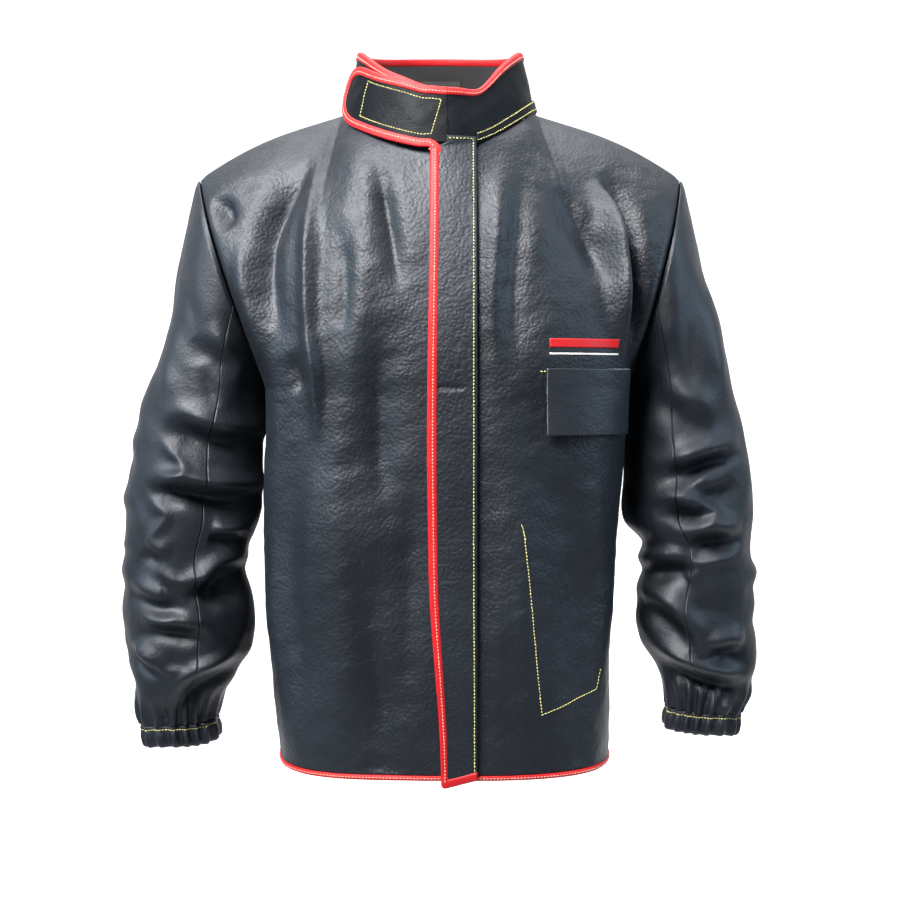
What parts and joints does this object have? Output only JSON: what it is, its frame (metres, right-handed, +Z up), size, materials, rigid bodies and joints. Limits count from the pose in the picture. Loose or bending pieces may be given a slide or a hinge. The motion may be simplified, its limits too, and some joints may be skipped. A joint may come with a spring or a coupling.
{
  "type": "leather welding jacket",
  "caption": "Black leather welder's jacket with a stand collar, a lapped storm flap with red edge binding, a flapped breast pocket and long sleeves with elastic cuffs",
  "frame": {"origin": "midway between the shoulders at neck level, where a wearer or a hanger carries the jacket", "axes": "+Z up, the front faces -Y, +X is the wearer's left"},
  "size_m": [0.6861, 0.2852, 0.765],
  "materials": {
    "black_leather": "black full-grain cowhide with a satin finish",
    "red_binding": "bright red folded binding tape, matte",
    "hook_tape": "black nylon hook tape",
    "loop_tape": "black nylon loop tape, fuzzy",
    "elastic": "black woven elastic",
    "pocket_cloth": "dark cotton twill",
    "label_cloth": "plain off-white woven label, blank"
  },
  "bodies": {
    "shell": {"right_front_panel": "black_leather", "left_front_panel": "black_leather", "back_panel": "black_leather", "back_yoke": "black_leather", "right_front_facing": "black_leather", "left_front_facing": "black_leather", "hem_binding": "red_binding", "collar_stand": "black_leather", "collar_facing": "black_leather", "collar_binding": "red_binding", "collar_seam_band": "black_leather", "collar_loop_patch": "loop_tape", "front_loop_strip": "loop_tape", "pocket_loop_patch": "loop_tape", "breast_pocket_bag": "pocket_cloth", "inner_pocket_bag": "black_leather", "size_label": "label_cloth", "hanger_loop": "black_leather"},
    "right_sleeve": {"right_upper_sleeve": "black_leather", "right_under_sleeve": "black_leather", "right_cuff_casing": "black_leather", "right_cuff_elastic": "elastic"},
    "left_sleeve": {"left_upper_sleeve": "black_leather", "left_under_sleeve": "black_leather", "left_cuff_casing": "black_leather", "left_cuff_elastic": "elastic"},
    "front_flap": {"storm_flap": "black_leather", "flap_binding": "red_binding", "flap_hook_strip": "hook_tape"},
    "neck_tab": {"collar_tab": "black_leather", "tab_binding": "red_binding", "tab_hook_patch": "hook_tape"},
    "breast_flap": {"pocket_flap": "black_leather", "pocket_hook_patch": "hook_tape"}
  },
  "joints": [
    {"name": "right_sleeve_raise", "type": "hinge", "parent": "shell", "child": "right_sleeve", "pos_m": [-0.262, 0, -0.035], "axis": [0, 1, 0], "range_deg": [0, 60]},
    {"name": "left_sleeve_raise", "type": "hinge", "parent": "shell", "child": "left_sleeve", "pos_m": [0.262, 0, -0.035], "axis": [0, -1, 0], "range_deg": [0, 60]},
    {"name": "storm_flap_opening", "type": "hinge", "parent": "shell", "child": "front_flap", "pos_m": [0.0377, -0.1552, -0.33], "axis": [0, 0, 1], "range_deg": [0, 100]},
    {"name": "collar_tab_opening", "type": "hinge", "parent": "shell", "child": "neck_tab", "pos_m": [0.0046, -0.1014, 0.0135], "axis": [0, 0.2425, 0.9702], "range_deg": [0, 110]},
    {"name": "pocket_flap_opening", "type": "hinge", "parent": "shell", "child": "breast_flap", "pos_m": [0.1455, -0.1357, -0.2425], "axis": [-0.8434, -0.5373, 0], "range_deg": [0, 140]}
  ]
}
